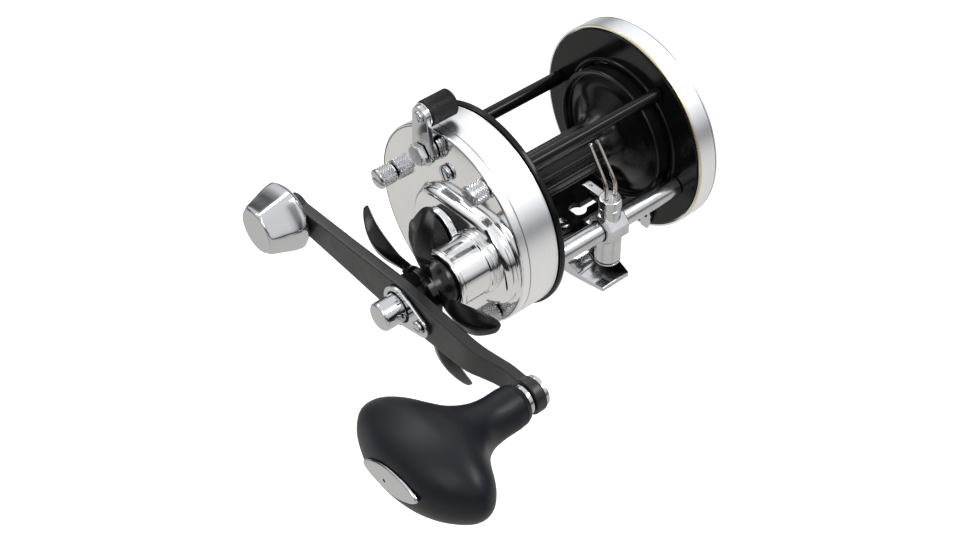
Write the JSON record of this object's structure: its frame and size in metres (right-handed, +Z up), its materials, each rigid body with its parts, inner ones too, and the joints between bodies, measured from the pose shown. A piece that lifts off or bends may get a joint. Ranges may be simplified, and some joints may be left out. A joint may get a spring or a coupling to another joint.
{
  "type": "trolling reel",
  "caption": "Round-plate trolling reel with a level wind, star drag, free-spool lever and a crank handle with a large power grip and a counterweight.",
  "frame": {"origin": "middle of the foot's flat underside, midway between the two side plates", "axes": "+X along the spool's axis towards the handle, +Y forward, where the line leaves, +Z up out of the foot"},
  "size_m": [0.1536, 0.1357, 0.0737],
  "materials": {
    "black_anodised": "gloss black anodised",
    "silver_anodised": "satin silver",
    "chrome_plate": "polished plate",
    "steel": "machined",
    "brass": "machined",
    "drag_fibre": "woven fibre, matte",
    "black_coated_metal": "satin black",
    "soft_grip": "soft touch, matte",
    "moulded_black": "moulded, matte"
  },
  "bodies": {
    "frame": {"left_frame_ring": "black_anodised", "right_frame_ring": "black_anodised", "left_side_cup": "silver_anodised", "left_hub_cap": "chrome_plate", "left_bearing": "steel", "gear_cover": "chrome_plate", "front_pillar": "black_anodised", "rear_pillar": "black_anodised", "lower_pillar": "black_anodised", "foot": "chrome_plate", "bottom_crossbar": "black_anodised", "foot_rivet_front": "chrome_plate", "foot_rivet_rear": "chrome_plate", "clamp_ear": "chrome_plate", "level_wind_tube": "chrome_plate", "bridge_plate": "steel", "right_bearing": "steel", "cover_screw": "chrome_plate"},
    "handle": {"handle_shaft": "steel", "main_gear": "brass", "fibre_drag_washer": "drag_fibre", "steel_drag_washer": "steel", "drag_spring_washer": "steel", "ratchet": "steel", "nut_retainer_plate": "chrome_plate", "retainer_screw": "chrome_plate", "handle_nut": "chrome_plate", "handle_arm": "black_coated_metal", "counterweight_knob": "chrome_plate", "counterweight_rivet": "chrome_plate", "grip_pin": "steel"},
    "grip": {"power_grip": "soft_grip", "grip_badge": "chrome_plate", "grip_ferrule": "chrome_plate"},
    "star": {"star_drag": "black_coated_metal"},
    "spool": {"spool": "black_anodised", "spool_shaft": "steel", "click_gear": "brass", "brake_holder": "steel"},
    "brake_block_upper": {"brake_block_upper": "moulded_black"},
    "brake_block_lower": {"brake_block_lower": "moulded_black"},
    "yoke": {"clutch_yoke": "steel"},
    "pinion": {"pinion": "brass"},
    "worm": {"worm_shaft": "steel", "worm_cog": "brass"},
    "line_guide": {"line_guide": "chrome_plate", "guide_wire_left": "steel", "guide_wire_right": "steel", "pawl_cap": "chrome_plate"},
    "pawl": {"pawl": "steel"},
    "lever": {"free_spool_lever": "chrome_plate", "lever_pivot_nut": "steel"},
    "lever_roller": {"lever_roller": "moulded_black"},
    "cap": {"cast_control_cap": "moulded_black"},
    "screw_rear": {"thumb_screw_rear": "steel"},
    "screw_front": {"thumb_screw_front": "steel"},
    "screw_lower": {"thumb_screw_lower": "steel"},
    "dog": {"anti_reverse_dog": "steel"},
    "clicker": {"clicker_button": "moulded_black", "click_tongue": "steel"}
  },
  "joints": [
    {"name": "handle_turn", "type": "hinge", "parent": "frame", "child": "handle", "pos_m": [0, 0.01619, 0.02903], "axis": [1, 0, 0], "continuous": true},
    {"name": "star_turn", "type": "hinge", "parent": "handle", "child": "star", "pos_m": [0, 0.01619, 0.02903], "axis": [1, 0, 0], "range_deg": [-180, 180]},
    {"name": "grip_spin", "type": "hinge", "parent": "handle", "child": "grip", "pos_m": [0, 0.0648, 0.0295], "axis": [1, 0, 0], "continuous": true},
    {"name": "spool_spin", "type": "hinge", "parent": "frame", "child": "spool", "pos_m": [0, 0, 0.0296], "axis": [1, 0, 0], "continuous": true},
    {"name": "brake_block_upper_slide", "type": "slide", "parent": "spool", "child": "brake_block_upper", "axis": [0, 0, 1], "range_m": [0, 0.001]},
    {"name": "brake_block_lower_slide", "type": "slide", "parent": "spool", "child": "brake_block_lower", "axis": [0, 0, -1], "range_m": [0, 0.001]},
    {"name": "lever_turn", "type": "hinge", "parent": "frame", "child": "lever", "pos_m": [0, -0.0079, 0.0533], "axis": [1, 0, 0], "range_deg": [0, 35]},
    {"name": "roller_spin", "type": "hinge", "parent": "lever", "child": "lever_roller", "pos_m": [0, -0.0083, 0.0657], "axis": [1, 0, 0], "continuous": true},
    {"name": "yoke_slide", "type": "slide", "parent": "frame", "child": "yoke", "axis": [1, 0, 0], "range_m": [0, 0.0015]},
    {"name": "pinion_spin", "type": "hinge", "parent": "yoke", "child": "pinion", "pos_m": [0, 0, 0.0296], "axis": [1, 0, 0], "continuous": true},
    {"name": "worm_spin", "type": "hinge", "parent": "frame", "child": "worm", "pos_m": [0, 0.0242, 0.02224], "axis": [1, 0, 0], "continuous": true},
    {"name": "guide_slide", "type": "slide", "parent": "frame", "child": "line_guide", "axis": [1, 0, 0], "range_m": [-0.0174, 0.0154]},
    {"name": "pawl_swivel", "type": "hinge", "parent": "line_guide", "child": "pawl", "pos_m": [0.001, 0.0242, 0.02224], "axis": [0, 0, 1], "range_deg": [-30, 30]},
    {"name": "cap_turn", "type": "hinge", "parent": "frame", "child": "cap", "pos_m": [0, 0, 0.0296], "axis": [1, 0, 0], "range_deg": [-180, 180]},
    {"name": "screw_rear_turn", "type": "hinge", "parent": "frame", "child": "screw_rear", "pos_m": [0, -0.0266, 0.0327], "axis": [1, 0, 0], "range_deg": [-180, 180]},
    {"name": "screw_front_turn", "type": "hinge", "parent": "frame", "child": "screw_front", "pos_m": [0, 0.0156, 0.0534], "axis": [1, 0, 0], "range_deg": [-180, 180]},
    {"name": "screw_lower_turn", "type": "hinge", "parent": "frame", "child": "screw_lower", "pos_m": [0, 0.0202, 0.01], "axis": [1, 0, 0], "range_deg": [-180, 180]},
    {"name": "dog_swing", "type": "hinge", "parent": "frame", "child": "dog", "pos_m": [0, 0.01819, 0.01743], "axis": [1, 0, 0], "range_deg": [0, 12]},
    {"name": "clicker_slide", "type": "slide", "parent": "frame", "child": "clicker", "axis": [0, 1, 0], "range_m": [0, 0.0035]}
  ],
  "couplings": [
    {"joint": "spool_spin", "follows": "handle_turn", "ratio": -4},
    {"joint": "pinion_spin", "follows": "handle_turn", "ratio": -4},
    {"joint": "worm_spin", "follows": "handle_turn", "ratio": -1.5},
    {"joint": "yoke_slide", "follows": "lever_turn", "m_per_rad": 0.0024}
  ]
}
